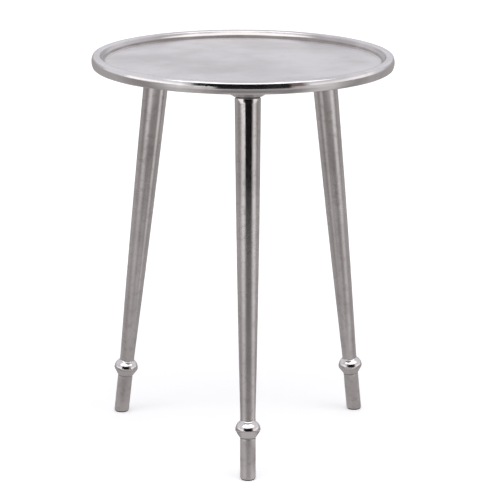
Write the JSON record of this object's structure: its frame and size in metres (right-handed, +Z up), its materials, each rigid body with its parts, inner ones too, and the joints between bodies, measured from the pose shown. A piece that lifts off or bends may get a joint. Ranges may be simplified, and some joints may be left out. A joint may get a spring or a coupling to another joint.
{
  "type": "round metal tray side table",
  "caption": "Round cast-metal tray table on splayed, tapered, turned legs that unscrew, each with a bead above a plain foot.",
  "frame": {"origin": "on the floor under the middle of the tray", "axes": "+Z up, -Y towards the front leg, +X to the right when that leg is in front"},
  "size_m": [0.4, 0.4, 0.524],
  "materials": {
    "tray_metal": "sand cast, hand polished, with faint blotches and rub marks",
    "leg_metal": "cast, turned and polished, with fine turning marks",
    "stud_steel": "zinc-plated threaded rod",
    "washer_fibre": "black fibre washer",
    "glide_plastic": "thin black glide"
  },
  "bodies": {
    "tray": {"tray_top": "tray_metal"},
    "washer_front": {"washer_front": "washer_fibre"},
    "leg_front": {"leg_front": "leg_metal", "stud_front": "stud_steel", "glide_front": "glide_plastic"},
    "washer_right": {"washer_right": "washer_fibre"},
    "leg_right": {"leg_right": "leg_metal", "stud_right": "stud_steel", "glide_right": "glide_plastic"},
    "washer_left": {"washer_left": "washer_fibre"},
    "leg_left": {"leg_left": "leg_metal", "stud_left": "stud_steel", "glide_left": "glide_plastic"}
  },
  "joints": [
    {"name": "unscrew_travel_front", "type": "slide", "parent": "tray", "child": "washer_front", "axis": [0, -0.1208, -0.9927], "range_m": [0, 0.018]},
    {"name": "unscrew_turn_front", "type": "hinge", "parent": "washer_front", "child": "leg_front", "pos_m": [0, -0.12957, 0.49237], "axis": [0, -0.1208, -0.9927], "range_deg": [0, 4320]},
    {"name": "unscrew_travel_right", "type": "slide", "parent": "tray", "child": "washer_right", "axis": [0.1046, 0.0604, -0.9927], "range_m": [0, 0.018]},
    {"name": "unscrew_turn_right", "type": "hinge", "parent": "washer_right", "child": "leg_right", "pos_m": [0.11221, 0.06478, 0.49237], "axis": [0.1046, 0.0604, -0.9927], "range_deg": [0, 4320]},
    {"name": "unscrew_travel_left", "type": "slide", "parent": "tray", "child": "washer_left", "axis": [-0.1046, 0.0604, -0.9927], "range_m": [0, 0.018]},
    {"name": "unscrew_turn_left", "type": "hinge", "parent": "washer_left", "child": "leg_left", "pos_m": [-0.11221, 0.06478, 0.49237], "axis": [-0.1046, 0.0604, -0.9927], "range_deg": [0, 4320]}
  ],
  "couplings": [
    {"joint": "unscrew_turn_front", "follows": "unscrew_travel_front", "rad_per_m": 4188.8},
    {"joint": "unscrew_turn_right", "follows": "unscrew_travel_right", "rad_per_m": 4188.8},
    {"joint": "unscrew_turn_left", "follows": "unscrew_travel_left", "rad_per_m": 4188.8}
  ]
}
